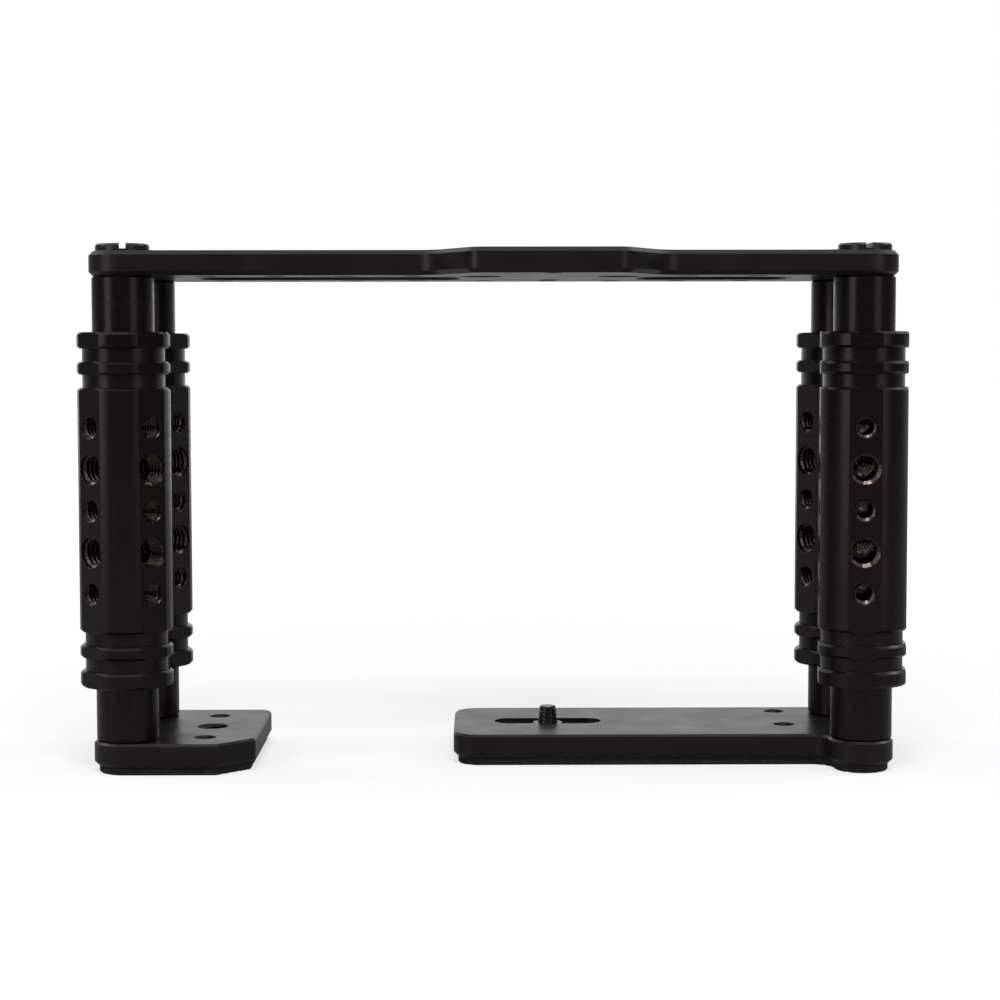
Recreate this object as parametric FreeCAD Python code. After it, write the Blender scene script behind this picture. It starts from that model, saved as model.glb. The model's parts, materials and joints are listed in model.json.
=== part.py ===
import FreeCAD, Part
import math
import os
from FreeCAD import Vector

# Camera cage: a windowed top plate stands on four turned posts, and the posts stand on two base pieces.
# Millimetres. The origin is midway between the four posts, on the surface that the rubber pads stand on.
# +X runs along the long side, +Y runs to the back and +Z is up.

# Post grid and heights
POST_SPAN_X = 228.0
POST_SPAN_Y = 47.4
POST_LENGTH = 143.2
PLATE_THICKNESS = 7.6
PAD_THICKNESS = 2.3

# Turned post
NECK_DIAMETER = 19.0
NECK_LENGTH = 17.1
NECK_CHAMFER = 0.6
BODY_DIAMETER = 28.4
ACROSS_FLATS = 26.6
GROOVE_DIAMETER = 25.2
END_RING_HEIGHT = 5.0
INNER_RING_HEIGHT = 4.0
GROOVE_HEIGHT = 4.0
RING_CHAMFER = 0.8

# Tapped holes in the posts and plates
QUARTER_INCH = 6.35
THREE_EIGHTHS_INCH = 9.525
POST_HOLE_PITCH = 12.7
POST_HOLE_LEVELS = 5
SMALL_HOLE_RIM = 0.4
LARGE_HOLE_RIM = 0.12

# How far each post is turned at rest, from the front towards +X, in degrees
POST_TURNS = {"front_left": 46.8, "front_right": -5.9, "rear_left": 58.7, "rear_right": 28.8}

# Plate outlines: the margin is what a plate reaches past the posts' axes
PLATE_MARGIN = 10.3
BASE_MARGIN = 9.9
OUTLINE_CHAMFER = 1.3
BASE_TOP_CHAMFER = 0.7
AXIS_X = 17.4

# Top plate
BOSS_OFFSET = -1.0
BOSS_FRONT_WIDTH = 46.3
BOSS_ROOT_WIDTH = 71.8
BOSS_REACH = 22.1
BOSS_CORNER = 6.0
BOSS_ROOT_CORNER = 8.0
RAIL_WIDTH = 21.0
END_WEB_REACH = 20.6
MIDDLE_WEB_WIDTH = 57.7
WINDOW_CORNER = 6.0
WINDOW_CHAMFER = 0.8
RAIL_HOLE_PITCH = 21.2
RAIL_HOLES_LEFT = 5
RAIL_HOLES_RIGHT = 3
WIDE_HOLE_STEPS = (-1, 1)
WIDE_HOLE_FORWARD = 4.0
COUNTERBORE_DIAMETER = 13.0
COUNTERBORE_DEPTH = 2.2
CENTRE_HOLE_Y = 14.0
TIP_HOLE_DIAMETER = 5.0
TIP_HOLE_SETBACK = 5.5

# Left foot plate
FOOT_WIDTH = 49.8
FOOT_CUT_ALONG = 10.5
FOOT_CUT_BACK = 11.0
FOOT_CUT_CORNER = 2.5
FOOT_REAR_CORNER = 4.0
FOOT_HOLE_IN = 23.4
FOOT_HOLE_SPAN = 41.4

# Right base plate
ARM_LEFT_END = 30.4
ARM_BACK_EXTRA = 2.9
ARM_CORNER = 8.0
ARM_REAR_CORNER = 12.0
ARM_FILLET = 5.0
ARM_STEP = 0.5
ARM_HOLE_IN = 20.5
ARM_HOLE_SPAN = 26.4
ARM_HOLE_FORWARD = 9.1

# Pads
PAD_INSET = 1.5
PAD_SLANT = 0.5
PAD_HOLE_MARGIN = 0.3

# Clamp screws at the post ends
CLAMP_THREAD = 8.0
CLAMP_REACH = 12.0
CLAMP_TIP_CHAMFER = 0.8
DRILL_EXTRA = 2.0
CAP_DIAMETER = 16.5
CAP_HEIGHT = 2.3
CAP_ROUNDING = 0.9
COIN_SLOT_WIDTH = 2.0
COIN_SLOT_DEPTH = 1.7
CAP_SLOT_TURNS = {"front_left": 9.3, "front_right": 0.4, "rear_left": 35.0, "rear_right": -50.0}
BASE_HEAD_DIAMETER = 13.0
BASE_HEAD_HEIGHT = 3.4
HEAD_EDGE = 0.4
HEX_ACROSS = 5.0
HEX_DEPTH = 2.0
HEAD_RECESS = 0.3
WASHER_THICKNESS = 1.2
WASHER_WIDTH = 2.3
WASHER_GAP = 1.2

# Sliding mounting screw
SCREW_TRAVEL = 12.0
SCREW_REACH = 5.0
SCREW_HEAD_DIAMETER = 15.0
SCREW_SLOT_WIDTH = 1.8
SCREW_SLOT_DEPTH = 1.4
SLOT_SHELF = 2.0
CLIP_CHANNEL_DEPTH = 1.2
SLIDE_WASHER_DIAMETER = 14.4
SLIDE_WASHER_THICKNESS = 0.8
CLIP_WIDTH = 2.1
CLIP_THICKNESS = 0.7
CLIP_MOUTH = 50.0
CLIP_GROOVE_DEPTH = 0.6

# Clearances, each on the radius or on one side
RUNNING_CLEARANCE = 0.05
HOLE_CLEARANCE = 0.3
HEAD_CLEARANCE = 0.6
CHANNEL_CLEARANCE = 1.0

# Points and heights closer than this count as the same
SAME_POINT = 0.001

# Worked-out places
HALF_X = POST_SPAN_X / 2
HALF_Y = POST_SPAN_Y / 2
PLATE_X = HALF_X + PLATE_MARGIN
PLATE_Y = HALF_Y + PLATE_MARGIN
ARM_FRONT_Y = ARM_FILLET + ARM_STEP - HALF_Y
ARM_BACK_Y = HALF_Y + BASE_MARGIN + ARM_BACK_EXTRA
SCREW_Y = (ARM_FRONT_Y + ARM_BACK_Y) / 2
BASE_Z = PAD_THICKNESS
POST_Z = BASE_Z + PLATE_THICKNESS
TOP_Z = POST_Z + POST_LENGTH
TOP_FACE_Z = TOP_Z + PLATE_THICKNESS
CLAMP_HOLE = CLAMP_THREAD + 2 * HOLE_CLEARANCE
BASE_COUNTERBORE = BASE_HEAD_DIAMETER + 2 * HEAD_CLEARANCE
HEAD_Z = BASE_Z + HEAD_RECESS
WASHER_Z = HEAD_Z + BASE_HEAD_HEIGHT
COUNTERBORE_Z = WASHER_Z + WASHER_THICKNESS
SHELF_TOP_Z = POST_Z - CLIP_CHANNEL_DEPTH
SHELF_Z = SHELF_TOP_Z - SLOT_SHELF
SCREW_HEAD_TOP_Z = SHELF_Z - SLIDE_WASHER_THICKNESS
SCREW_SLOT_HALF = QUARTER_INCH / 2 + HOLE_CLEARANCE
SCREW_CHANNEL_HALF = SCREW_HEAD_DIAMETER / 2 + CHANNEL_CLEARANCE
CLIP_GROOVE_RADIUS = QUARTER_INCH / 2 - CLIP_GROOVE_DEPTH
CLIP_INNER_RADIUS = CLIP_GROOVE_RADIUS + RUNNING_CLEARANCE
CLIP_OUTER_RADIUS = CLIP_INNER_RADIUS + CLIP_WIDTH
CLIP_Z = SHELF_TOP_Z + RUNNING_CLEARANCE

CORNERS = {
    "front_left": (-HALF_X, -HALF_Y),
    "front_right": (HALF_X, -HALF_Y),
    "rear_left": (-HALF_X, HALF_Y),
    "rear_right": (HALF_X, HALF_Y),
}
LEFT_POSTS = ("front_left", "rear_left")
RIGHT_POSTS = ("front_right", "rear_right")


def cylinder(x, y, low, high, diameter):
    """An upright cylinder between two heights."""
    return Part.makeCylinder(diameter / 2, high - low, Vector(x, y, low))


def rounded_outline(corners):
    """A closed wire through (x, y, radius) corners, each rounded by a tangent arc."""
    arcs = []
    for index, (x, y, radius) in enumerate(corners):
        here = Vector(x, y, 0)
        before = Vector(corners[index - 1][0], corners[index - 1][1], 0)
        after = Vector(corners[(index + 1) % len(corners)][0], corners[(index + 1) % len(corners)][1], 0)
        back = (before - here).normalize()
        ahead = (after - here).normalize()
        half_angle = back.getAngle(ahead) / 2
        inward = (back + ahead).normalize()
        tangent = radius / math.tan(half_angle)
        middle = here + inward * (radius / math.sin(half_angle) - radius)
        arcs.append((here + back * tangent, middle, here + ahead * tangent))
    edges = []
    for index, (start, middle, end) in enumerate(arcs):
        edges.append(Part.Arc(start, middle, end).toShape())
        following = arcs[(index + 1) % len(arcs)][0]
        if end.distanceToPoint(following) > SAME_POINT:
            edges.append(Part.LineSegment(end, following).toShape())
    return Part.Wire(edges)


def plate(outline, low, thickness):
    """A flat plate of the outline, standing on the height low."""
    face = Part.Face(outline)
    face.translate(Vector(0, 0, low))
    return face.extrude(Vector(0, 0, thickness))


def level_edges(solid, height, half_width=None, half_depth=None):
    """The edges at one height, or only those inside a rectangle about the Z axis."""
    found = []
    for edge in solid.Edges:
        box = edge.BoundBox
        if max(abs(box.ZMin - height), abs(box.ZMax - height)) > SAME_POINT:
            continue
        if half_width is not None and max(abs(box.XMin), abs(box.XMax)) > half_width:
            continue
        if half_depth is not None and max(abs(box.YMin), abs(box.YMax)) > half_depth:
            continue
        found.append(edge)
    return found


def tapped_hole(x, y, low, high, diameter, rim):
    """A through hole with a small countersink at each mouth, as a cutting tool."""
    radius = diameter / 2
    tool = cylinder(x, y, low, high, diameter)
    lower = Part.makeCone(radius + rim, radius, rim, Vector(x, y, low))
    upper = Part.makeCone(radius, radius + rim, rim, Vector(x, y, high - rim))
    return tool.fuse([lower, upper])


def stadium(x, y, low, high, half_width, travel):
    """A slot along X with round ends, as a cutting tool: travel each way from its middle."""
    middle = Part.makeBox(2 * travel, 2 * half_width, high - low, Vector(x - travel, y - half_width, low))
    left = cylinder(x - travel, y, low, high, 2 * half_width)
    right = cylinder(x + travel, y, low, high, 2 * half_width)
    return middle.fuse([left, right])


def post_profile():
    """Half of the post's turned outline, from its lower end to its middle, as radius and height."""
    neck = NECK_DIAMETER / 2
    body = BODY_DIAMETER / 2
    groove = GROOVE_DIAMETER / 2
    points = [(0, 0), (neck - NECK_CHAMFER, 0), (neck, NECK_CHAMFER), (neck, NECK_LENGTH)]
    height = NECK_LENGTH
    for ring in (END_RING_HEIGHT, INNER_RING_HEIGHT):
        points.append((body - RING_CHAMFER, height))
        points.append((body, height + RING_CHAMFER))
        height += ring
        points.append((body, height - RING_CHAMFER))
        points.append((body - RING_CHAMFER, height))
        points.append((groove, height))
        height += GROOVE_HEIGHT
        points.append((groove, height))
    points.append((body - RING_CHAMFER, height))
    points.append((body, height + RING_CHAMFER))
    return points


def turned_bar():
    """The post's round bar with its necks, rings and grooves, the same at both ends."""
    lower = post_profile()
    upper = [(radius, POST_LENGTH - height) for radius, height in reversed(lower)]
    points = [Vector(radius, 0, height) for radius, height in lower + upper]
    points.append(points[0])
    face = Part.Face(Part.makePolygon(points))
    return face.revolve(Vector(0, 0, 0), Vector(0, 0, 1), 360)


def cross_hole(height, diameter, rim):
    """One through hole of a post, front to back, as a cutting tool."""
    reach = ACROSS_FLATS / 2
    tool = tapped_hole(0, 0, -reach, reach, diameter, rim)
    outside = 1.0
    front = cylinder(0, 0, -reach - outside, -reach, diameter + 2 * rim)
    back = cylinder(0, 0, reach, reach + outside, diameter + 2 * rim)
    tool = tool.fuse([front, back])
    tool.rotate(Vector(0, 0, 0), Vector(1, 0, 0), 90)
    tool.translate(Vector(0, 0, height))
    return tool


def clamp_bore():
    """The tapped hole for a clamp screw at a post's lower end, with its drill point."""
    diameter = CLAMP_THREAD + 2 * RUNNING_CLEARANCE
    depth = CLAMP_REACH + DRILL_EXTRA
    point = diameter / 2 * math.tan(math.radians(31))
    hole = cylinder(0, 0, 0, depth, diameter)
    tip = Part.makeCone(diameter / 2, 0, point, Vector(0, 0, depth))
    mouth = Part.makeCone(diameter / 2 + SMALL_HOLE_RIM, diameter / 2, SMALL_HOLE_RIM)
    return hole.fuse([tip, mouth])


def make_post(name):
    """One post: a turned bar with four milled flats, tapped across at five heights and at both ends."""
    bar = turned_bar()
    half = ACROSS_FLATS / 2
    square = Part.makeBox(ACROSS_FLATS, ACROSS_FLATS, POST_LENGTH, Vector(-half, -half, 0))
    bar = bar.common(square)
    tools = []
    for level in range(POST_HOLE_LEVELS):
        height = POST_LENGTH / 2 + (level - (POST_HOLE_LEVELS - 1) / 2) * POST_HOLE_PITCH
        large = level % 2 == 1
        diameter = THREE_EIGHTHS_INCH if large else QUARTER_INCH
        rim = LARGE_HOLE_RIM if large else SMALL_HOLE_RIM
        along = cross_hole(height, diameter, rim)
        across = along.copy()
        across.rotate(Vector(0, 0, 0), Vector(0, 0, 1), 90)
        tools.extend([along, across])
    lower = clamp_bore()
    upper = clamp_bore().mirror(Vector(0, 0, POST_LENGTH / 2), Vector(0, 0, 1))
    post = bar.cut(tools + [lower, upper])
    post.rotate(Vector(0, 0, 0), Vector(0, 0, 1), POST_TURNS[name])
    x, y = CORNERS[name]
    post.translate(Vector(x, y, POST_Z))
    return post


def top_outline():
    """The top plate's outline: a long rounded plate with a tapered boss at the front."""
    boss = AXIS_X + BOSS_OFFSET
    front = -PLATE_Y
    tip = front - BOSS_REACH
    return rounded_outline([
        (-PLATE_X, front, PLATE_MARGIN),
        (boss - BOSS_ROOT_WIDTH / 2, front, BOSS_ROOT_CORNER),
        (boss - BOSS_FRONT_WIDTH / 2, tip, BOSS_CORNER),
        (boss + BOSS_FRONT_WIDTH / 2, tip, BOSS_CORNER),
        (boss + BOSS_ROOT_WIDTH / 2, front, BOSS_ROOT_CORNER),
        (PLATE_X, front, PLATE_MARGIN),
        (PLATE_X, PLATE_Y, PLATE_MARGIN),
        (-PLATE_X, PLATE_Y, PLATE_MARGIN),
    ])


def window(left, right):
    """One window of the top plate, as a cutting tool."""
    half = PLATE_Y - RAIL_WIDTH
    outline = rounded_outline([
        (left, -half, WINDOW_CORNER),
        (right, -half, WINDOW_CORNER),
        (right, half, WINDOW_CORNER),
        (left, half, WINDOW_CORNER),
    ])
    return plate(outline, TOP_Z, PLATE_THICKNESS)


def rail_hole_tools():
    """The tapped holes along both rails. Those beside the boss are large, and none lies on its middle."""
    tools = []
    for step in range(-RAIL_HOLES_LEFT, RAIL_HOLES_RIGHT + 1):
        x = AXIS_X + step * RAIL_HOLE_PITCH
        tools.append(tapped_hole(x, HALF_Y, TOP_Z, TOP_FACE_Z, QUARTER_INCH, SMALL_HOLE_RIM))
        if step in WIDE_HOLE_STEPS:
            y = -HALF_Y + WIDE_HOLE_FORWARD
            tools.append(tapped_hole(x, y, TOP_Z, TOP_FACE_Z, THREE_EIGHTHS_INCH, SMALL_HOLE_RIM))
            tools.append(cylinder(x, y, TOP_Z, TOP_Z + COUNTERBORE_DEPTH, COUNTERBORE_DIAMETER))
        elif step != 0:
            tools.append(tapped_hole(x, -HALF_Y, TOP_Z, TOP_FACE_Z, QUARTER_INCH, SMALL_HOLE_RIM))
    return tools


def make_top_plate():
    """The top plate: two long rails, three webs, the front boss and the rows of tapped holes."""
    solid = plate(top_outline(), TOP_Z, PLATE_THICKNESS)
    solid = solid.makeChamfer(OUTLINE_CHAMFER, level_edges(solid, TOP_Z) + level_edges(solid, TOP_FACE_Z))
    outer = HALF_X - END_WEB_REACH
    left = window(-outer, AXIS_X - MIDDLE_WEB_WIDTH / 2)
    right = window(AXIS_X + MIDDLE_WEB_WIDTH / 2, outer)
    solid = solid.cut([left, right])
    inside = (outer + WINDOW_CHAMFER, PLATE_Y - RAIL_WIDTH + WINDOW_CHAMFER)
    rims = level_edges(solid, TOP_Z, *inside) + level_edges(solid, TOP_FACE_Z, *inside)
    solid = solid.makeChamfer(WINDOW_CHAMFER, rims)
    tools = rail_hole_tools()
    tools.append(tapped_hole(AXIS_X, CENTRE_HOLE_Y, TOP_Z, TOP_FACE_Z, QUARTER_INCH, SMALL_HOLE_RIM))
    tip_y = TIP_HOLE_SETBACK - PLATE_Y - BOSS_REACH
    tools.append(tapped_hole(AXIS_X, tip_y, TOP_Z, TOP_FACE_Z, TIP_HOLE_DIAMETER, SMALL_HOLE_RIM))
    for x, y in CORNERS.values():
        tools.append(cylinder(x, y, TOP_Z, TOP_FACE_Z, CLAMP_HOLE))
    return solid.cut(tools)


def foot_corners():
    """The left foot's outline corners. The front corner towards the arm is cut off at a slant."""
    right = FOOT_WIDTH - PLATE_X
    return [
        (-PLATE_X, -PLATE_Y, PLATE_MARGIN),
        (right - FOOT_CUT_ALONG, -PLATE_Y, FOOT_CUT_CORNER),
        (right, FOOT_CUT_BACK - PLATE_Y, FOOT_CUT_CORNER),
        (right, PLATE_Y, FOOT_REAR_CORNER),
        (-PLATE_X, PLATE_Y, PLATE_MARGIN),
    ]


def arm_corners():
    """The right base plate's outline corners: a lobe round the front post and a long arm to the left."""
    left = AXIS_X - ARM_LEFT_END
    lobe = HALF_X - BASE_MARGIN
    right = HALF_X + BASE_MARGIN
    front = -HALF_Y - BASE_MARGIN
    return [
        (left, ARM_FRONT_Y, ARM_CORNER),
        (lobe, ARM_FRONT_Y, ARM_FILLET),
        (lobe, front, BASE_MARGIN),
        (right, front, BASE_MARGIN),
        (right, ARM_BACK_Y, ARM_REAR_CORNER),
        (left, ARM_BACK_Y, ARM_CORNER),
    ]


def base_blank(corners):
    """A base piece's blank with its edges broken, more below than above."""
    solid = plate(rounded_outline(corners), BASE_Z, PLATE_THICKNESS)
    solid = solid.makeChamfer(OUTLINE_CHAMFER, level_edges(solid, BASE_Z))
    return solid.makeChamfer(BASE_TOP_CHAMFER, level_edges(solid, POST_Z))


def clamp_hole_tools(names):
    """The counterbored clamp screw holes under the named posts, as cutting tools."""
    tools = []
    for name in names:
        x, y = CORNERS[name]
        tools.append(cylinder(x, y, COUNTERBORE_Z, POST_Z, CLAMP_HOLE))
        tools.append(cylinder(x, y, BASE_Z, COUNTERBORE_Z, BASE_COUNTERBORE))
    return tools


def foot_holes():
    """The left foot's tapped holes as x, y and diameter: small, large, small."""
    x = FOOT_HOLE_IN - HALF_X
    half = FOOT_HOLE_SPAN / 2
    return [(x, -half, QUARTER_INCH), (x, 0, THREE_EIGHTHS_INCH), (x, half, QUARTER_INCH)]


def arm_holes():
    """The right base plate's tapped holes as x, y and diameter."""
    x = HALF_X - ARM_HOLE_IN
    middle = HALF_Y - ARM_HOLE_FORWARD
    half = ARM_HOLE_SPAN / 2
    return [(x, middle - half, QUARTER_INCH), (x, middle + half, QUARTER_INCH)]


def tapped_tools(holes):
    """Cutting tools for the tapped holes of a base piece."""
    return [tapped_hole(x, y, BASE_Z, POST_Z, diameter, SMALL_HOLE_RIM) for x, y, diameter in holes]


def make_foot_plate():
    """The left foot, which carries the two left posts."""
    solid = base_blank(foot_corners())
    return solid.cut(clamp_hole_tools(LEFT_POSTS) + tapped_tools(foot_holes()))


def make_base_plate():
    """The right base plate, with the stepped slot that the mounting screw slides in."""
    solid = base_blank(arm_corners())
    slot = stadium(AXIS_X, SCREW_Y, BASE_Z, POST_Z, SCREW_SLOT_HALF, SCREW_TRAVEL)
    channel = stadium(AXIS_X, SCREW_Y, BASE_Z, SHELF_Z, SCREW_CHANNEL_HALF, SCREW_TRAVEL)
    clip_half = CLIP_OUTER_RADIUS + HEAD_CLEARANCE
    clip_channel = stadium(AXIS_X, SCREW_Y, SHELF_TOP_Z, POST_Z, clip_half, SCREW_TRAVEL)
    return solid.cut(clamp_hole_tools(RIGHT_POSTS) + tapped_tools(arm_holes()) + [slot, channel, clip_channel])


def make_pad(corners, names, holes):
    """A rubber pad: the outline drawn in, its lower edge slanted, open under every hole and screw head."""
    outline = rounded_outline(corners).makeOffset2D(-PAD_INSET)
    solid = plate(outline, 0, PAD_THICKNESS)
    solid = solid.makeChamfer(PAD_SLANT, level_edges(solid, 0))
    tools = []
    for name in names:
        x, y = CORNERS[name]
        tools.append(cylinder(x, y, 0, PAD_THICKNESS, BASE_COUNTERBORE + 2 * PAD_HOLE_MARGIN))
    for x, y, diameter in holes:
        tools.append(cylinder(x, y, 0, PAD_THICKNESS, diameter + 2 * PAD_HOLE_MARGIN))
    return solid.cut(tools)


def make_base_pad():
    """The pad under the right base plate, also open along the mounting screw's channel."""
    pad = make_pad(arm_corners(), RIGHT_POSTS, arm_holes())
    half_width = SCREW_CHANNEL_HALF + PAD_HOLE_MARGIN
    return pad.cut(stadium(AXIS_X, SCREW_Y, 0, PAD_THICKNESS, half_width, SCREW_TRAVEL))


def shank(x, y, low, high, diameter, tip_low, tip_high):
    """A screw shank whose lower or upper end is chamfered."""
    solid = cylinder(x, y, low, high, diameter)
    edges = []
    if tip_low:
        edges += level_edges(solid, low)
    if tip_high:
        edges += level_edges(solid, high)
    return solid.makeChamfer(CLAMP_TIP_CHAMFER, edges)


def make_top_screw(name):
    """A coin-slotted clamp screw that holds the top plate down on its post."""
    x, y = CORNERS[name]
    cap = cylinder(x, y, TOP_FACE_Z, TOP_FACE_Z + CAP_HEIGHT, CAP_DIAMETER)
    cap = cap.makeFillet(CAP_ROUNDING, level_edges(cap, TOP_FACE_Z + CAP_HEIGHT))
    stem = shank(x, y, TOP_Z - CLAMP_REACH, TOP_FACE_Z, CLAMP_THREAD, True, False)
    corner = Vector(-COIN_SLOT_WIDTH / 2, -CAP_DIAMETER, TOP_FACE_Z + CAP_HEIGHT - COIN_SLOT_DEPTH)
    slot = Part.makeBox(COIN_SLOT_WIDTH, 2 * CAP_DIAMETER, CAP_HEIGHT, corner)
    slot.rotate(Vector(0, 0, 0), Vector(0, 0, 1), CAP_SLOT_TURNS[name])
    slot.translate(Vector(x, y, 0))
    return cap.fuse(stem).removeSplitter().cut(slot)


def hexagon_socket(x, y, low, depth):
    """A hexagon socket open at its lower end, as a cutting tool."""
    reach = HEX_ACROSS / 2 / math.cos(math.radians(30))
    corners = []
    for side in range(7):
        angle = math.radians(60 * side)
        corners.append(Vector(x + reach * math.cos(angle), y + reach * math.sin(angle), low))
    return Part.Face(Part.makePolygon(corners)).extrude(Vector(0, 0, depth))


def make_base_screw(name):
    """A low-head clamp screw that holds a base piece up against its post."""
    x, y = CORNERS[name]
    head = cylinder(x, y, HEAD_Z, WASHER_Z, BASE_HEAD_DIAMETER)
    head = head.makeChamfer(HEAD_EDGE, level_edges(head, HEAD_Z))
    stem = shank(x, y, WASHER_Z, POST_Z + CLAMP_REACH, CLAMP_THREAD, False, True)
    return head.fuse(stem).removeSplitter().cut(hexagon_socket(x, y, HEAD_Z, HEX_DEPTH))


def split_ring(x, y, low, thickness, inner, outer, mouth):
    """A flat ring, split by a straight mouth of the given width towards -Y."""
    ring = cylinder(x, y, low, low + thickness, 2 * outer)
    hole = cylinder(x, y, low, low + thickness, 2 * inner)
    gap = Part.makeBox(mouth, 2 * outer, thickness, Vector(x - mouth / 2, y - 2 * outer, low))
    return ring.cut([hole, gap])


def make_lock_washer(name):
    """The split lock washer between a base screw's head and the counterbore floor."""
    x, y = CORNERS[name]
    inner = CLAMP_THREAD / 2 + HOLE_CLEARANCE
    return split_ring(x, y, WASHER_Z, WASHER_THICKNESS, inner, inner + WASHER_WIDTH, WASHER_GAP)


def make_mounting_screw():
    """The captive screw: a slotted head below, a clip groove and a thread that stands above the plate."""
    top = POST_Z + SCREW_REACH
    head = cylinder(AXIS_X, SCREW_Y, HEAD_Z, SCREW_HEAD_TOP_Z, SCREW_HEAD_DIAMETER)
    head = head.makeChamfer(HEAD_EDGE, level_edges(head, HEAD_Z))
    stem = shank(AXIS_X, SCREW_Y, SCREW_HEAD_TOP_Z, top, QUARTER_INCH, False, True)
    screw = head.fuse(stem).removeSplitter()
    groove_top = CLIP_Z + CLIP_THICKNESS + RUNNING_CLEARANCE
    groove = cylinder(AXIS_X, SCREW_Y, SHELF_TOP_Z, groove_top, 2 * QUARTER_INCH)
    groove = groove.cut(cylinder(AXIS_X, SCREW_Y, SHELF_TOP_Z, groove_top, 2 * CLIP_GROOVE_RADIUS))
    corner = Vector(AXIS_X - SCREW_SLOT_WIDTH / 2, SCREW_Y - SCREW_HEAD_DIAMETER, HEAD_Z)
    coin_slot = Part.makeBox(SCREW_SLOT_WIDTH, 2 * SCREW_HEAD_DIAMETER, SCREW_SLOT_DEPTH, corner)
    return screw.cut([groove, coin_slot])


def make_slide_washer():
    """The plain washer that slides along the slot's shelf above the mounting screw's head."""
    washer = cylinder(AXIS_X, SCREW_Y, SCREW_HEAD_TOP_Z, SHELF_Z, SLIDE_WASHER_DIAMETER)
    return washer.cut(cylinder(AXIS_X, SCREW_Y, SCREW_HEAD_TOP_Z, SHELF_Z, 2 * SCREW_SLOT_HALF))


def make_clip():
    """The open clip in the screw's groove, which keeps the screw in the plate."""
    mouth = 2 * CLIP_INNER_RADIUS * math.sin(math.radians(CLIP_MOUTH))
    return split_ring(AXIS_X, SCREW_Y, CLIP_Z, CLIP_THICKNESS, CLIP_INNER_RADIUS, CLIP_OUTER_RADIUS, mouth)


def build():
    """Every piece of the cage by name."""
    parts = {
        "top_plate": make_top_plate(),
        "base_plate": make_base_plate(),
        "foot_plate": make_foot_plate(),
        "base_pad": make_base_pad(),
        "foot_pad": make_pad(foot_corners(), LEFT_POSTS, foot_holes()),
        "mounting_screw": make_mounting_screw(),
        "mounting_screw_washer": make_slide_washer(),
        "mounting_screw_clip": make_clip(),
    }
    for name in CORNERS:
        parts["post_" + name] = make_post(name)
        parts["top_screw_" + name] = make_top_screw(name)
        parts["base_screw_" + name] = make_base_screw(name)
        parts["lock_washer_" + name] = make_lock_washer(name)
    return parts


os.makedirs("parts", exist_ok=True)
for node, shape in build().items():
    shape.exportStep("parts/" + node + ".step")
    box = shape.BoundBox
    size = f"{box.XLength:.2f} x {box.YLength:.2f} x {box.ZLength:.2f}"
    print(f"{node:28} solids {len(shape.Solids)} valid {shape.isValid()} {size}")
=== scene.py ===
# %% [markdown]
# # A camera cage in black anodised aluminium
# The real object is a box frame for accessories. A windowed top plate and two base pieces are clamped to
# four turned posts, and every post is drilled and tapped across, so that arms and lights screw on. The
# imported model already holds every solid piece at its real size, so this lesson adds what a CAD solid
# leaves out: threads in the holes, rubber with ribs, and a finish for each surface.

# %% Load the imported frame
import bpy
import json
import math
from mathutils import Matrix, Vector


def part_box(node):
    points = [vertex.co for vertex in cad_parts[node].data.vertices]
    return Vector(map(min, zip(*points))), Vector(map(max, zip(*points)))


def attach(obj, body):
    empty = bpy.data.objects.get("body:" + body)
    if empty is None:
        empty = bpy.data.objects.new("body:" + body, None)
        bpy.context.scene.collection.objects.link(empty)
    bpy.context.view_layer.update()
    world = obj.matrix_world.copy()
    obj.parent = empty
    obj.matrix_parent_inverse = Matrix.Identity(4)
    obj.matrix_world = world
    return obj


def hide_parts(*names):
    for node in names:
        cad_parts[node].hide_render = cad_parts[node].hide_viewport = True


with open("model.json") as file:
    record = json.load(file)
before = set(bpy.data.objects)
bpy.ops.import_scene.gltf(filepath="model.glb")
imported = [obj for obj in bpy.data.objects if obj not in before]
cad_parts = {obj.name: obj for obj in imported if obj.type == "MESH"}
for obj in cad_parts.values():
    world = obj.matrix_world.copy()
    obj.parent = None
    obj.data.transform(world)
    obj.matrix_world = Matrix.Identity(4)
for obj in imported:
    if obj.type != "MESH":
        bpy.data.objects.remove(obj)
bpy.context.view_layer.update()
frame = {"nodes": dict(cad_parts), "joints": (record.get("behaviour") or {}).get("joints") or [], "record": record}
nodes = frame["nodes"]
mounts = {mount["name"]: mount for mount in frame["record"]["mounts"]}
joints = {joint["name"]: joint for joint in frame["joints"]}
CORNERS = ("front_left", "front_right", "rear_left", "rear_right")
MM = 0.001


# %% [markdown]
# ## The finishes
# Anodised aluminium is a thin dyed oxide over metal. It looks like a dark, slightly rough dielectric:
# nearly black seen square on, and grey where the light grazes it. So the metal of these pieces stays at
# zero, and the sheen at a grazing angle comes from the shader's own Fresnel term. A bead-blasted plate
# has a fine, even grain, and a turned post has fine rings round its axis. Both are patterns on Object
# coordinates, in metres.

# %% Helpers for node trees
NOISE_LOW, NOISE_HIGH = 0.3, 0.7
BUMP_STRENGTH = 0.6


def add_node(tree, kind, **settings):
    """A new node with its plain settings, and its inputs given by name with an in_ in front."""
    node = tree.nodes.new(kind)
    for name, value in settings.items():
        if name.startswith("in_"):
            node.inputs[name[3:].replace("_", " ")].default_value = value
        else:
            setattr(node, name, value)
    return node


def new_finish(name, roughness, specular=0.5, metallic=0.0, sheen=(1, 1, 1)):
    """A material with its Principled shader. The sheen colour tints its mirror part."""
    material = bpy.data.materials.new(name)
    material.use_nodes = True
    shader = material.node_tree.nodes["Principled BSDF"]
    shader.inputs["Roughness"].default_value = roughness
    shader.inputs["Specular IOR Level"].default_value = specular
    shader.inputs["Metallic"].default_value = metallic
    shader.inputs["Specular Tint"].default_value = (*sheen, 1)
    return material, material.node_tree, shader


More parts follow.
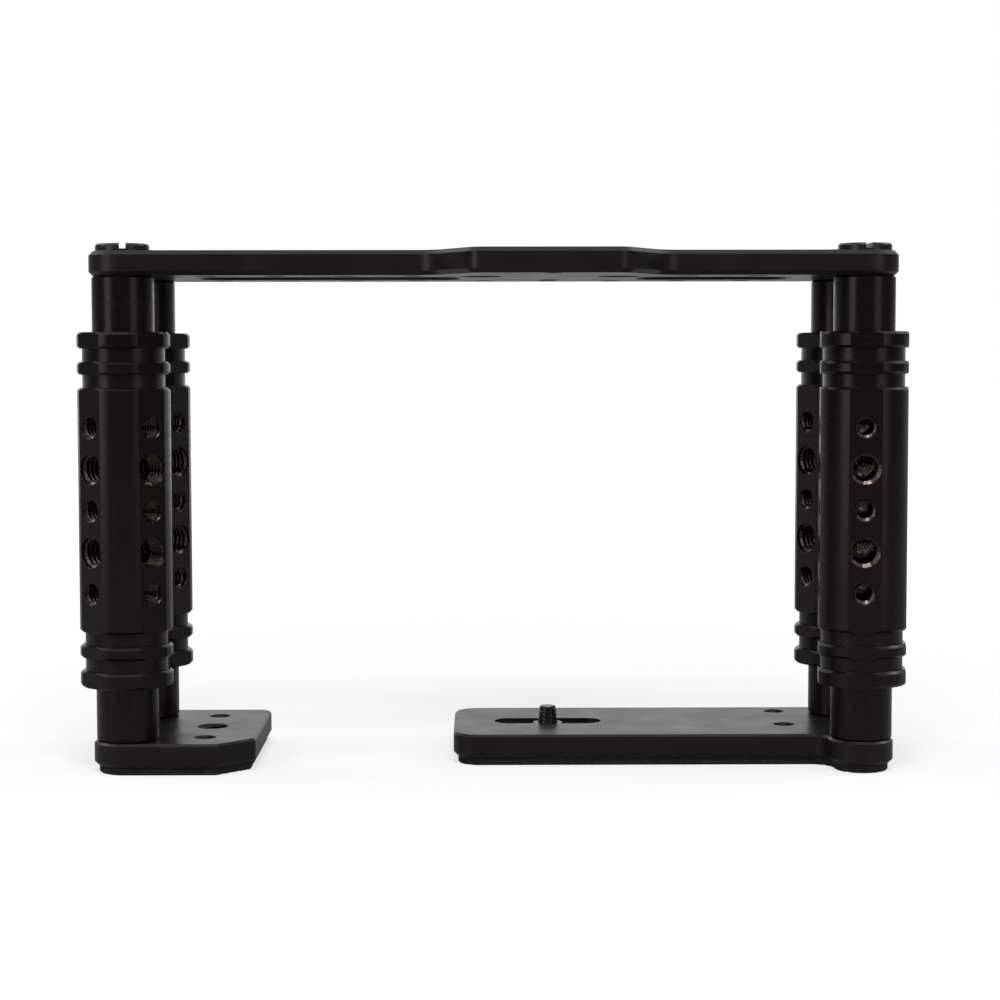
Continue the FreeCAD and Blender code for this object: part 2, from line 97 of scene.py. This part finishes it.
def grain(tree, scale, detail=2.0, stretch=(1, 1, 1)):
    """Noise on Object coordinates: scale is in cells per metre, and stretch draws it out along an axis."""
    place = add_node(tree, "ShaderNodeTexCoord")
    mapping = add_node(tree, "ShaderNodeMapping", in_Scale=stretch)
    noise = add_node(tree, "ShaderNodeTexNoise", in_Scale=scale, in_Detail=detail)
    tree.links.new(place.outputs["Object"], mapping.inputs["Vector"])
    tree.links.new(mapping.outputs["Vector"], noise.inputs["Vector"])
    return noise.outputs["Fac"]


def tint(tree, shader, factor, dark, light, low=0.35, high=0.65):
    """Base colour that drifts between two tints with a noise."""
    ramp = add_node(tree, "ShaderNodeValToRGB")
    ramp.color_ramp.elements[0].position = low
    ramp.color_ramp.elements[1].position = high
    ramp.color_ramp.elements[0].color = (*dark, 1)
    ramp.color_ramp.elements[1].color = (*light, 1)
    tree.links.new(factor, ramp.inputs["Fac"])
    tree.links.new(ramp.outputs["Color"], shader.inputs["Base Color"])


def vary_roughness(tree, shader, factor, low, high):
    """Roughness that drifts between two values with a noise."""
    spread = add_node(tree, "ShaderNodeMapRange", in_From_Min=NOISE_LOW, in_From_Max=NOISE_HIGH,
                      in_To_Min=low, in_To_Max=high)
    tree.links.new(factor, spread.inputs["Value"])
    tree.links.new(spread.outputs["Result"], shader.inputs["Roughness"])


def raise_bump(tree, shader, heights, distance):
    """Bump from one or more noises, the later ones on top of the earlier."""
    normal = None
    for height in heights:
        bump = add_node(tree, "ShaderNodeBump", in_Distance=distance, in_Strength=BUMP_STRENGTH)
        tree.links.new(height, bump.inputs["Height"])
        if normal:
            tree.links.new(normal, bump.inputs["Normal"])
        normal = bump.outputs["Normal"]
    tree.links.new(normal, shader.inputs["Normal"])


# %% Anodised, rubber and steel finishes
def make_plate_finish():
    """Bead-blasted aluminium, anodised black with a faint violet tone."""
    material, tree, shader = new_finish("plate_anodised", 0.36, specular=0.30, sheen=(1.0, 0.86, 0.97))
    tint(tree, shader, grain(tree, 55, 4), (0.0046, 0.0036, 0.0045), (0.0068, 0.0054, 0.0066))
    vary_roughness(tree, shader, grain(tree, 90, 3), 0.31, 0.38)
    raise_bump(tree, shader, [grain(tree, 2600, 2), grain(tree, 900, 2)], 0.00002)
    return material


def make_post_finish():
    """Turned aluminium, anodised black: fine rings round the post's own axis, and warm in tone."""
    material, tree, shader = new_finish("post_anodised", 0.26, specular=0.26, sheen=(1.0, 0.80, 0.84))
    tint(tree, shader, grain(tree, 70, 4), (0.0030, 0.0021, 0.0023), (0.0050, 0.0036, 0.0039))
    vary_roughness(tree, shader, grain(tree, 14, 4, (1, 1, 60)), 0.22, 0.30)
    raise_bump(tree, shader, [grain(tree, 30, 3, (1, 1, 70)), grain(tree, 2200, 2)], 0.000005)
    return material


def make_thread_finish():
    """Tapped flanks: smoother than the skin and a little worn to the metal, so that they catch the light."""
    material, tree, shader = new_finish("tapped_thread", 0.20, metallic=0.9)
    tint(tree, shader, grain(tree, 1200, 3), (0.016, 0.012, 0.0105), (0.060, 0.045, 0.038))
    raise_bump(tree, shader, [grain(tree, 3000, 2)], 0.00001)
    return material


def make_painted_shade_thread_finish():
    """Painted shade: the flanks in the plates' holes get a darker, duller copy of the thread finish."""
    material, tree, shader = new_finish("painted_shade_thread", 0.4, specular=0.3)
    tint(tree, shader, grain(tree, 1200, 3), (0.0025, 0.0022, 0.0024), (0.0060, 0.0050, 0.0050))
    raise_bump(tree, shader, [grain(tree, 3000, 2)], 0.00001)
    return material


def make_black_steel_finish():
    """Steel screws, black oxide: a tone that drifts with a noise, and a soft shine."""
    material, tree, shader = new_finish("black_oxide_steel", 0.3, specular=0.4, metallic=0.2)
    tint(tree, shader, grain(tree, 220, 4), (0.005, 0.005, 0.0056), (0.012, 0.0115, 0.012))
    vary_roughness(tree, shader, grain(tree, 500, 3), 0.24, 0.38)
    raise_bump(tree, shader, [grain(tree, 1800, 2)], 0.00001)
    return material


def make_spring_steel_finish():
    """Plain spring steel, ground, with fine scratches drawn out along X."""
    material, tree, shader = new_finish("spring_steel", 0.32, metallic=1.0)
    tint(tree, shader, grain(tree, 300, 4), (0.07, 0.07, 0.073), (0.15, 0.147, 0.145))
    raise_bump(tree, shader, [grain(tree, 200, 3, (0.1, 6, 6))], 0.00001)
    return material


def make_rubber_finish():
    """Dull black rubber with a fine pebble and a bloom of dust."""
    material, tree, shader = new_finish("pad_rubber", 0.85, specular=0.25)
    tint(tree, shader, grain(tree, 600, 5), (0.008, 0.008, 0.008), (0.020, 0.019, 0.018))
    raise_bump(tree, shader, [grain(tree, 1500, 3)], 0.00006)
    return material


PLATE_FINISH = make_plate_finish()
POST_FINISH = make_post_finish()
THREAD_FINISH = make_thread_finish()
# The plates' threads take a copy of the thread finish that is darkened with painted shade.
PAINTED_SHADE_THREAD = make_painted_shade_thread_finish()
BLACK_STEEL = make_black_steel_finish()
SPRING_STEEL = make_spring_steel_finish()
RUBBER = make_rubber_finish()
print("finishes", [material.name for material in (PLATE_FINISH, POST_FINISH, THREAD_FINISH, PAINTED_SHADE_THREAD,
                                                  BLACK_STEEL, SPRING_STEEL, RUBBER)])


# %% Dress the solid pieces
def finish_for(node):
    """The finish of a solid piece, by what it is made of."""
    if node.endswith("_pad"):
        return RUBBER
    if node.startswith("post_"):
        return POST_FINISH
    if node.endswith("_plate"):
        return PLATE_FINISH
    if "washer" in node or "clip" in node:
        return SPRING_STEEL
    return BLACK_STEEL


for name, piece in nodes.items():
    piece.data.materials.clear()
    piece.data.materials.append(finish_for(name))
print("dressed", len(nodes), "pieces")


# %% [markdown]
# ## Threads in the holes
# Every hole is tapped, and from the front the lit edges of the threads are the brightest detail of the
# posts. The solids keep plain bores at the thread's outer size, so each ridge is a thin helix that stands
# on the bore's wall. The ridges repeat many times, so a Geometry Nodes tree makes one helix from its
# sizes and sets a copy of it at every hole mouth, turned to the way the hole points.

# %% Helpers for Geometry Nodes trees
def add_input(tree, name, kind, value=None):
    """A named input of a Geometry Nodes tree."""
    socket = tree.interface.new_socket(name, in_out="INPUT", socket_type=kind)
    if value is not None:
        socket.default_value = value
    return socket.identifier


def math_node(tree, operation, first, second):
    """One arithmetic node; each operand is a socket or a number."""
    node = add_node(tree, "ShaderNodeMath", operation=operation)
    for socket, value in zip(node.inputs, (first, second)):
        if isinstance(value, (int, float)):
            socket.default_value = value
        else:
            tree.links.new(value, socket)
    return node.outputs[0]


def made_by_tree(name, mesh, tree, ids, values):
    """The plain mesh that a tree makes of a mesh. Inputs are set by identifier before it is evaluated."""
    holder = bpy.data.objects.new(name + "_blank", mesh)
    bpy.context.scene.collection.objects.link(holder)
    modifier = holder.modifiers.new(tree.name, "NODES")
    modifier.node_group = tree
    for key, value in values.items():
        modifier[ids[key]] = value
    evaluated = holder.evaluated_get(bpy.context.evaluated_depsgraph_get())
    result = bpy.data.meshes.new_from_object(evaluated)
    bpy.data.objects.remove(holder)
    return result


def add_piece(name, mesh, body):
    """A named piece that rides on a body."""
    piece = bpy.data.objects.new(name, mesh)
    bpy.context.scene.collection.objects.link(piece)
    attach(piece, body)
    return piece


# %% A tree that makes one helical ridge and copies it to every hole mouth
TRIANGLE_HEIGHT = 1.5
ROOT_SINK = 0.45
RIDGE_STEPS = 22


def make_thread_tree():
    """Points in, ridges out: a triangle is swept along a spiral that runs down from each point.

    Side is 1 for ridges on a bore's wall and -1 for ridges on a shank.
    """
    tree = bpy.data.node_groups.new("thread_ridges", "GeometryNodeTree")
    ids = {"Points": add_input(tree, "Points", "NodeSocketGeometry")}
    for name, value in (("Wall Radius", 0.003), ("Pitch", 0.00127), ("Depth", 0.0006), ("Length", 0.008),
                        ("Side", 1.0)):
        ids[name] = add_input(tree, name, "NodeSocketFloat", value)
    ids["Steps"] = add_input(tree, "Steps", "NodeSocketInt", RIDGE_STEPS)
    ids["Finish"] = add_input(tree, "Finish", "NodeSocketMaterial")
    tree.interface.new_socket("Ridges", in_out="OUTPUT", socket_type="NodeSocketGeometry")
    given = add_node(tree, "NodeGroupInput").outputs
    turns = math_node(tree, "DIVIDE", given["Length"], given["Pitch"])
    # The swept triangle is 1.5 of its own radius high. Its base lies just within the wall.
    reach = math_node(tree, "DIVIDE", given["Depth"], TRIANGLE_HEIGHT)
    inset = math_node(tree, "MULTIPLY", math_node(tree, "MULTIPLY", reach, ROOT_SINK), given["Side"])
    centre = math_node(tree, "SUBTRACT", given["Wall Radius"], inset)
    spiral = add_node(tree, "GeometryNodeCurveSpiral")
    for socket, value in (("Resolution", given["Steps"]), ("Rotations", turns), ("Start Radius", centre),
                          ("End Radius", centre), ("Height", given["Length"])):
        tree.links.new(value, spiral.inputs[socket])
    upright = add_node(tree, "GeometryNodeSetCurveNormal", mode="Z_UP")
    tree.links.new(spiral.outputs["Curve"], upright.inputs["Curve"])
    profile = add_node(tree, "GeometryNodeCurvePrimitiveCircle", in_Resolution=3)
    tree.links.new(reach, profile.inputs["Radius"])
    turned = add_node(tree, "GeometryNodeTransform")
    facing = add_node(tree, "ShaderNodeCombineXYZ", in_Y=1.0, in_Z=1.0)
    tree.links.new(given["Side"], facing.inputs["X"])
    tree.links.new(facing.outputs[0], turned.inputs["Scale"])
    tree.links.new(profile.outputs["Curve"], turned.inputs["Geometry"])
    sweep = add_node(tree, "GeometryNodeCurveToMesh")
    sweep.inputs["Fill Caps"].default_value = True
    tree.links.new(upright.outputs["Curve"], sweep.inputs["Curve"])
    tree.links.new(turned.outputs["Geometry"], sweep.inputs["Profile Curve"])
    down = add_node(tree, "GeometryNodeTransform")
    offset = add_node(tree, "ShaderNodeCombineXYZ")
    tree.links.new(math_node(tree, "MULTIPLY", given["Length"], -1.0), offset.inputs["Z"])
    tree.links.new(offset.outputs[0], down.inputs["Translation"])
    tree.links.new(sweep.outputs["Mesh"], down.inputs["Geometry"])
    outward = add_node(tree, "GeometryNodeInputNamedAttribute", data_type="FLOAT_VECTOR")
    outward.inputs["Name"].default_value = "outward"
    aim = add_node(tree, "FunctionNodeAlignRotationToVector", axis="Z")
    tree.links.new(outward.outputs["Attribute"], aim.inputs["Vector"])
    copies = add_node(tree, "GeometryNodeInstanceOnPoints")
    tree.links.new(given["Points"], copies.inputs["Points"])
    tree.links.new(down.outputs["Geometry"], copies.inputs["Instance"])
    tree.links.new(aim.outputs["Rotation"], copies.inputs["Rotation"])
    real = add_node(tree, "GeometryNodeRealizeInstances")
    paint = add_node(tree, "GeometryNodeSetMaterial")
    flat = add_node(tree, "GeometryNodeSetShadeSmooth")
    flat.inputs["Shade Smooth"].default_value = False
    tree.links.new(given["Finish"], paint.inputs["Material"])
    tree.links.new(copies.outputs["Instances"], real.inputs["Geometry"])
    tree.links.new(real.outputs["Geometry"], flat.inputs["Geometry"])
    tree.links.new(flat.outputs["Geometry"], paint.inputs["Geometry"])
    tree.links.new(paint.outputs["Geometry"], add_node(tree, "NodeGroupOutput").inputs["Ridges"])
    return tree, ids


THREAD_TREE, THREAD_INPUTS = make_thread_tree()
print("thread tree inputs", list(THREAD_INPUTS))


# %% Turn a set of hole mouths into a plain mesh of ridges
SMALL_THREAD = (3.175 * MM, 1.27 * MM)
LARGE_THREAD = (4.7625 * MM, 1.5875 * MM)
THREAD_DEPTH_SHARE = 0.5
MOUTH_SETBACK = 0.75 * MM


def thread_ridges(name, body, mouths, thread, length, finish, side=1.0):
    """Ridges for threads given as (end, outward direction), made by the tree and kept as a plain mesh."""
    mesh = bpy.data.meshes.new(name + "_mouths")
    mesh.from_pydata([mouth for mouth, _ in mouths], [], [])
    outward = mesh.attributes.new("outward", "FLOAT_VECTOR", "POINT")
    for index, (_, direction) in enumerate(mouths):
        outward.data[index].vector = direction
    radius, pitch = thread
    values = {"Wall Radius": radius, "Pitch": pitch, "Depth": THREAD_DEPTH_SHARE * pitch, "Length": length,
              "Side": side, "Finish": finish}
    result = made_by_tree(name, mesh, THREAD_TREE, THREAD_INPUTS, values)
    print(name, len(mouths), "holes", len(result.polygons), "faces")
    return add_piece(name, result, body)


print("thread radius and pitch in mm", [[round(size / MM, 4) for size in thread]
                                        for thread in (SMALL_THREAD, LARGE_THREAD)])


# %% Threads of the four posts
# Small and large holes come by turns, with a small one in the middle. Where the holes of two flats cross, the
# ridges stop a little more than one hole radius short of the post's axis.
FLAT_REACH = 13.3 * MM
POST_LEVELS = 5
CROSSING_STOP = 1.25


def post_mouths(corner, large):
    """The mouths of a post's small or large holes, on all four flats, with the way each one points."""
    middle = mounts[corner + "_post_middle_small_hole"]
    centre = Vector(middle["pos_m"])
    level_pitch = centre.z - mounts[corner + "_post_low_large_hole"]["pos_m"][2]
    mouths = []
    for level in range(POST_LEVELS):
        if (level % 2 == 1) != large:
            continue
        height = Vector((0, 0, (level - (POST_LEVELS - 1) / 2) * level_pitch))
        for side in range(4):
            out = Matrix.Rotation(math.radians(90 * side), 3, "Z") @ Vector(middle["axis"])
            mouths.append((centre + height + out * (FLAT_REACH - MOUTH_SETBACK), out))
    return mouths


for corner in CORNERS:
    for label, thread, large in (("small", SMALL_THREAD, False), ("large", LARGE_THREAD, True)):
        depth = FLAT_REACH - MOUTH_SETBACK - CROSSING_STOP * thread[0]
        piece = thread_ridges(f"{corner}_post_{label}_threads", corner + "_post", post_mouths(corner, large),
                              thread, depth, THREAD_FINISH)


# %% Threads of the plates
def plate_mouths(names, top):
    """The mouths of the plate holes that the named mounts stand for, below a plate's top face."""
    mouths = []
    for name in names:
        mount = mounts[name]
        middle = Vector(mount["pos_m"])
        count = mount["dims"].get("count", 1)
        step = Vector((mount["dims"].get("spacing_x_mm", 0), mount["dims"].get("spacing_y_mm", 0), 0)) * MM
        for index in range(count):
            place = middle + step * (index - (count - 1) / 2)
            mouths.append((Vector((place.x, place.y, top - MOUTH_SETBACK)), Vector((0, 0, 1))))
    return mouths


LARGE_COUNTERBORE = 2.2 * MM
REAR_RAIL = ("rear_rail_holes_1", "rear_rail_holes_2", "rear_rail_holes_3", "rear_rail_holes_4",
             "rear_rail_middle_hole")
FRONT_RAIL = ("front_rail_left_outer_holes", "front_rail_left_inner_holes", "front_rail_right_holes",
              "top_centre_hole")
PLATE_THREADS = (
    ("top_plate", "small", SMALL_THREAD, REAR_RAIL + FRONT_RAIL, 0.0),
    ("top_plate", "large", LARGE_THREAD, ("front_large_holes",), LARGE_COUNTERBORE),
    ("foot_plate", "small", SMALL_THREAD, ("foot_small_holes",), 0.0),
    ("foot_plate", "large", LARGE_THREAD, ("foot_large_hole",), 0.0),
    ("base_plate", "small", SMALL_THREAD, ("base_small_holes",), 0.0),
)
# The plates' ridges take the thread finish darkened with painted shade, standing for the shade in their holes.
for plate, label, thread, names, counterbore in PLATE_THREADS:
    low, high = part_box(plate)
    depth = high.z - low.z - counterbore - 2 * MOUTH_SETBACK
    mouths = plate_mouths(names, high.z)
    piece = thread_ridges(f"{plate}_{label}_threads", "cage_frame", mouths, thread, depth, PAINTED_SHADE_THREAD)


# %% [markdown]
# ## The mounting screw
# The captive screw is the one threaded shank that shows, above the slot of the right base piece. Its
# solid is a plain rod at the thread's outer size. The piece that stands for it here is a copy whose rod
# above the clip's groove is drawn in to the thread's root, with the same kind of ridge wound round it,
# this time facing outwards.

# %% A rod drawn in to the root, with ridges outside
SCREW_THREAD_LENGTH = 5.4 * MM
SCREW_TIP_SETBACK = 0.9 * MM
ROOT_OVERLAP = 0.05 * MM
RIDGE_HALF_WIDTH = 0.4 * SMALL_THREAD[1]


def drawn_in(mesh, axis, root, low):
    """A rod's mesh, above a height, drawn in to a radius."""
    for vertex in mesh.vertices:
        away = Vector((vertex.co.x - axis.x, vertex.co.y - axis.y, 0))
        if vertex.co.z > low and away.length > root:
            vertex.co -= away * (1 - root / away.length)
    return mesh


def make_mounting_screw():
    """The captive screw with a real thread above its clip groove."""
    name = "mounting_screw"
    radius, pitch = SMALL_THREAD
    axis = Vector(joints["mounting_screw_turn"]["pos_m"])
    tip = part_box(name)[1].z
    root = radius - THREAD_DEPTH_SHARE * pitch + ROOT_OVERLAP
    mesh = drawn_in(nodes[name].data.copy(), axis, root, tip - SCREW_THREAD_LENGTH)
    shank = add_piece("threaded_mounting_screw", mesh, "captive_screw")
    end = Vector((axis.x, axis.y, tip - SCREW_TIP_SETBACK))
    length = SCREW_THREAD_LENGTH - SCREW_TIP_SETBACK - RIDGE_HALF_WIDTH
    ridges = thread_ridges("mounting_screw_thread", "captive_screw", [(end, Vector((0, 0, 1)))],
                           (root, pitch), length, BLACK_STEEL, side=-1.0)
    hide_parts(name)
    print(name, "root", round(root / MM, 3), "mm, thread", round(length / MM, 2), "mm long")


make_mounting_screw()


# %% [markdown]
# ## The rubber soles
# Both pads are cut from ribbed sheet, so that they grip. Grooves repeat at one pitch from edge to edge,
# whatever the outline is. So a tree lays a row of bars under a copy of the solid pad and takes them away
# from it: the outline, the holes and the height stay those of the solid, and only the underside and its
# edges change.

# %% A tree that cuts grooves across the underside
BAR_OVERHANG = 1.1


def make_groove_tree():
    """Pad in, ribbed pad out: bars along X at one pitch are taken away from the underside."""
    tree = bpy.data.node_groups.new("sole_grooves", "GeometryNodeTree")
    ids = {}
    add_input(tree, "Pad", "NodeSocketGeometry")
    for name, value in (("Pitch", 0.0024), ("Width", 0.0009), ("Depth", 0.0005)):
        ids[name] = add_input(tree, name, "NodeSocketFloat", value)
    ids["Finish"] = add_input(tree, "Finish", "NodeSocketMaterial")
    tree.interface.new_socket("Ribbed Pad", in_out="OUTPUT", socket_type="NodeSocketGeometry")
    given = add_node(tree, "NodeGroupInput").outputs
    box = add_node(tree, "GeometryNodeBoundBox")
    tree.links.new(given["Pad"], box.inputs["Geometry"])
    low = add_node(tree, "ShaderNodeSeparateXYZ")
    high = add_node(tree, "ShaderNodeSeparateXYZ")
    tree.links.new(box.outputs["Min"], low.inputs[0])
    tree.links.new(box.outputs["Max"], high.inputs[0])
    depth = math_node(tree, "SUBTRACT", high.outputs["Y"], low.outputs["Y"])
    count = math_node(tree, "FLOOR", math_node(tree, "DIVIDE", depth, given["Pitch"]), 0.0)
    width = math_node(tree, "SUBTRACT", high.outputs["X"], low.outputs["X"])
    length = math_node(tree, "MULTIPLY", width, BAR_OVERHANG)
    start = add_node(tree, "ShaderNodeCombineXYZ")
    middle = math_node(tree, "MULTIPLY", math_node(tree, "ADD", low.outputs["X"], high.outputs["X"]), 0.5)
    tree.links.new(middle, start.inputs["X"])
    tree.links.new(math_node(tree, "ADD", low.outputs["Y"], given["Pitch"]), start.inputs["Y"])
    step = add_node(tree, "ShaderNodeCombineXYZ")
    tree.links.new(given["Pitch"], step.inputs["Y"])
    row = add_node(tree, "GeometryNodeMeshLine")
    tree.links.new(math_node(tree, "SUBTRACT", count, 1.0), row.inputs["Count"])
    tree.links.new(start.outputs[0], row.inputs["Start Location"])
    tree.links.new(step.outputs[0], row.inputs["Offset"])
    size = add_node(tree, "ShaderNodeCombineXYZ")
    tree.links.new(length, size.inputs["X"])
    tree.links.new(given["Width"], size.inputs["Y"])
    tree.links.new(math_node(tree, "MULTIPLY", given["Depth"], 2.0), size.inputs["Z"])
    bar = add_node(tree, "GeometryNodeMeshCube")
    tree.links.new(size.outputs[0], bar.inputs["Size"])
    bars = add_node(tree, "GeometryNodeInstanceOnPoints")
    tree.links.new(row.outputs["Mesh"], bars.inputs["Points"])
    tree.links.new(bar.outputs["Mesh"], bars.inputs["Instance"])
    real = add_node(tree, "GeometryNodeRealizeInstances")
    tree.links.new(bars.outputs["Instances"], real.inputs["Geometry"])
    cut = add_node(tree, "GeometryNodeMeshBoolean", operation="DIFFERENCE", solver="EXACT")
    tree.links.new(given["Pad"], cut.inputs["Mesh 1"])
    tree.links.new(real.outputs["Geometry"], cut.inputs["Mesh 2"])
    paint = add_node(tree, "GeometryNodeSetMaterial")
    tree.links.new(cut.outputs["Mesh"], paint.inputs["Geometry"])
    tree.links.new(given["Finish"], paint.inputs["Material"])
    tree.links.new(paint.outputs["Geometry"], add_node(tree, "NodeGroupOutput").inputs["Ribbed Pad"])
    return tree, ids


GROOVE_TREE, GROOVE_INPUTS = make_groove_tree()
print("groove tree inputs", list(GROOVE_INPUTS))


# %% Both pads
GROOVES = {"Pitch": 2.4 * MM, "Width": 0.9 * MM, "Depth": 0.5 * MM, "Finish": RUBBER}


def make_sole(node):
    """A ribbed sole that stands for one solid pad."""
    name = node + "_sole"
    mesh = made_by_tree(name, nodes[node].data.copy(), GROOVE_TREE, GROOVE_INPUTS, GROOVES)
    piece = add_piece(name, mesh, "cage_frame")
    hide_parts(node)
    print(name, len(mesh.polygons), "faces")


for node in ("base_pad", "foot_pad"):
    make_sole(node)


# %% [markdown]
# ## Floor, light and camera
# The object stands on a plain pale sweep. The paper is white to the camera and behind the object, where
# it is lit like the backdrop, and only a soft grey in front, so that the upright faces stay nearly black.
# What the paper sends out by itself is less near the object, so that the shadow on it still shows.
#
# Two tall soft boxes stand in front, one on each side: they draw the two soft lines down every round
# post. One box above the front reaches the bottom of the tapped holes, and two more, high up on the
# sides, give the top and the back an even sheen. The world is white where it is seen or mirrored behind
# the object or overhead, and dim in front, as in a studio with a white backdrop and ceiling.

# %% Pale floor
WHITE = (1, 1, 1, 1)
FLOOR_HALF = 30.0
FLOOR_COLOUR = (0.34, 0.34, 0.34, 1)
LIFT_NEAR, LIFT_FAR = 0.63, 0.84
LIFT_RISE = (0.25, 1.2)
MIRRORED_FROM = (0.6, 2.0)


def make_floor_finish():
    """Grey paper that also shines white to the camera, and to gloss and glass behind the object."""
    material, tree, shader = new_finish("floor_paper", 1.0, specular=0.0)
    shader.inputs["Base Color"].default_value = FLOOR_COLOUR
    rays = add_node(tree, "ShaderNodeLightPath").outputs
    place = add_node(tree, "ShaderNodeTexCoord").outputs["Object"]
    split = add_node(tree, "ShaderNodeSeparateXYZ")
    tree.links.new(place, split.inputs[0])
    behind = add_node(tree, "ShaderNodeMapRange", in_From_Min=MIRRORED_FROM[0], in_From_Max=MIRRORED_FROM[1])
    tree.links.new(split.outputs["Y"], behind.inputs["Value"])
    mirrored = math_node(tree, "MAXIMUM", rays["Is Glossy Ray"], rays["Is Transmission Ray"])
    mirrored = math_node(tree, "MULTIPLY", mirrored, behind.outputs["Result"])
    seen = math_node(tree, "MAXIMUM", rays["Is Camera Ray"], mirrored)
    reach = add_node(tree, "ShaderNodeVectorMath", operation="LENGTH")
    tree.links.new(place, reach.inputs[0])
    rise = add_node(tree, "ShaderNodeMapRange", in_From_Min=LIFT_RISE[0], in_From_Max=LIFT_RISE[1],
                    in_To_Min=LIFT_NEAR, in_To_Max=LIFT_FAR)
    tree.links.new(reach.outputs["Value"], rise.inputs["Value"])
    lift = add_node(tree, "ShaderNodeEmission", in_Color=WHITE)
    tree.links.new(math_node(tree, "MULTIPLY", seen, rise.outputs["Result"]), lift.inputs["Strength"])
    both = add_node(tree, "ShaderNodeAddShader")
    tree.links.new(shader.outputs[0], both.inputs[0])
    tree.links.new(lift.outputs[0], both.inputs[1])
    tree.links.new(both.outputs[0], tree.nodes["Material Output"].inputs["Surface"])
    return material


floor_mesh = bpy.data.meshes.new("floor")
floor_corners = [(-FLOOR_HALF, -FLOOR_HALF, 0), (FLOOR_HALF, -FLOOR_HALF, 0),
                 (FLOOR_HALF, FLOOR_HALF, 0), (-FLOOR_HALF, FLOOR_HALF, 0)]
floor_mesh.from_pydata(floor_corners, [], [(0, 1, 2, 3)])
floor_mesh.materials.append(make_floor_finish())
floor = bpy.data.objects.new("floor", floor_mesh)
bpy.context.scene.collection.objects.link(floor)
print("floor", 2 * FLOOR_HALF, "m wide")


# %% White world, dim in front of the object
FRONT_DIM = 0.03
BACKDROP_EDGE = (0.70, 0.95)
CEILING_EDGE = (0.25, 0.55)
FILL_STRENGTH = 0.5


def make_world():
    """White to the camera, and to gloss behind and overhead; a plain fill for everything else."""
    world = bpy.data.worlds.new("studio")
    world.use_nodes = True
    tree = world.node_tree
    tree.nodes.clear()
    rays = add_node(tree, "ShaderNodeLightPath").outputs
    place = add_node(tree, "ShaderNodeTexCoord")
    split = add_node(tree, "ShaderNodeSeparateXYZ")
    tree.links.new(place.outputs["Generated"], split.inputs[0])
    behind = add_node(tree, "ShaderNodeMapRange", in_From_Min=BACKDROP_EDGE[0], in_From_Max=BACKDROP_EDGE[1],
                      in_To_Min=FRONT_DIM)
    tree.links.new(split.outputs["Y"], behind.inputs["Value"])
    above = add_node(tree, "ShaderNodeMapRange", in_From_Min=CEILING_EDGE[0], in_From_Max=CEILING_EDGE[1])
    tree.links.new(split.outputs["Z"], above.inputs["Value"])
    mirrored = math_node(tree, "MAXIMUM", behind.outputs["Result"], above.outputs["Result"])
    level = math_node(tree, "MAXIMUM", rays["Is Camera Ray"], mirrored)
    seen = math_node(tree, "MAXIMUM", rays["Is Glossy Ray"], rays["Is Transmission Ray"])
    seen = math_node(tree, "MAXIMUM", rays["Is Camera Ray"], seen)
    white = add_node(tree, "ShaderNodeBackground", in_Color=WHITE)
    tree.links.new(level, white.inputs["Strength"])
    fill = add_node(tree, "ShaderNodeBackground", in_Color=WHITE, in_Strength=FILL_STRENGTH)
    mix = add_node(tree, "ShaderNodeMixShader")
    tree.links.new(seen, mix.inputs[0])
    tree.links.new(fill.outputs[0], mix.inputs[1])
    tree.links.new(white.outputs[0], mix.inputs[2])
    tree.links.new(mix.outputs[0], add_node(tree, "ShaderNodeOutputWorld").inputs["Surface"])
    return world


bpy.context.scene.world = make_world()
print("world", bpy.context.scene.world.name)


# %% Soft boxes
# Each one: name, place, width and height in metres, and how bright its face is.
SOFT_BOXES = (
    ("soft_box_left", (-1.03, -0.82, 0.35), 0.50, 1.3, 2.2),
    ("soft_box_right", (1.00, -1.02, 0.35), 0.58, 1.3, 1.2),
    ("soft_box_above", (0.0, -0.75, 1.15), 0.5, 0.35, 17.0),
    ("soft_box_high_left", (-1.25, 0.15, 1.0), 0.5, 0.45, 6.0),
    ("soft_box_high_right", (1.25, 0.25, 0.95), 0.5, 0.45, 6.0),
)
LIT_POINT = Vector((0, 0, 0.08))


def soft_box(name, place, width, height, radiance):
    """An area lamp that faces the middle of the object. Its power follows from its size and brightness."""
    lamp = bpy.data.lights.new(name, "AREA")
    lamp.shape = "RECTANGLE"
    lamp.size = width
    lamp.size_y = height
    lamp.energy = radiance * math.pi * width * height
    box = bpy.data.objects.new(name, lamp)
    bpy.context.scene.collection.objects.link(box)
    box.location = place
    box.rotation_euler = (LIT_POINT - Vector(place)).to_track_quat("-Z", "Y").to_euler()


for sizes in SOFT_BOXES:
    soft_box(*sizes)
print(len(SOFT_BOXES), "soft boxes")


# %% Camera at the photograph's viewing angle
CAMERA_PLACE = Vector((-3.80, -719.4, 130.0)) * MM
CAMERA_TURNS = (0.0079, 0.0658, -0.0013)
LENS_MM = 81.19
SENSOR_MM = 36.0


def aim_camera(place, yaw, pitch, roll):
    """A camera that looks along +Y, turned right by yaw, down by pitch and rolled about its own axis."""
    ahead = Vector((math.sin(yaw) * math.cos(pitch), math.cos(yaw) * math.cos(pitch), -math.sin(pitch)))
    side = Vector((math.cos(yaw), -math.sin(yaw), 0))
    up = side.cross(ahead)
    right = side * math.cos(roll) + up * math.sin(roll)
    above = up * math.cos(roll) - side * math.sin(roll)
    columns = Matrix((right, above, -ahead)).transposed().to_4x4()
    columns.translation = place
    return columns


camera_data = bpy.data.cameras.new("camera")
camera_data.sensor_width = SENSOR_MM
camera_data.lens = LENS_MM
camera_data.clip_start = 0.01
camera = bpy.data.objects.new("camera", camera_data)
bpy.context.scene.collection.objects.link(camera)
camera.matrix_world = aim_camera(CAMERA_PLACE, *CAMERA_TURNS)
bpy.context.scene.camera = camera
bpy.context.scene.view_settings.view_transform = "Standard"
print("camera", [round(value, 3) for value in camera.location], "lens", LENS_MM, "mm")
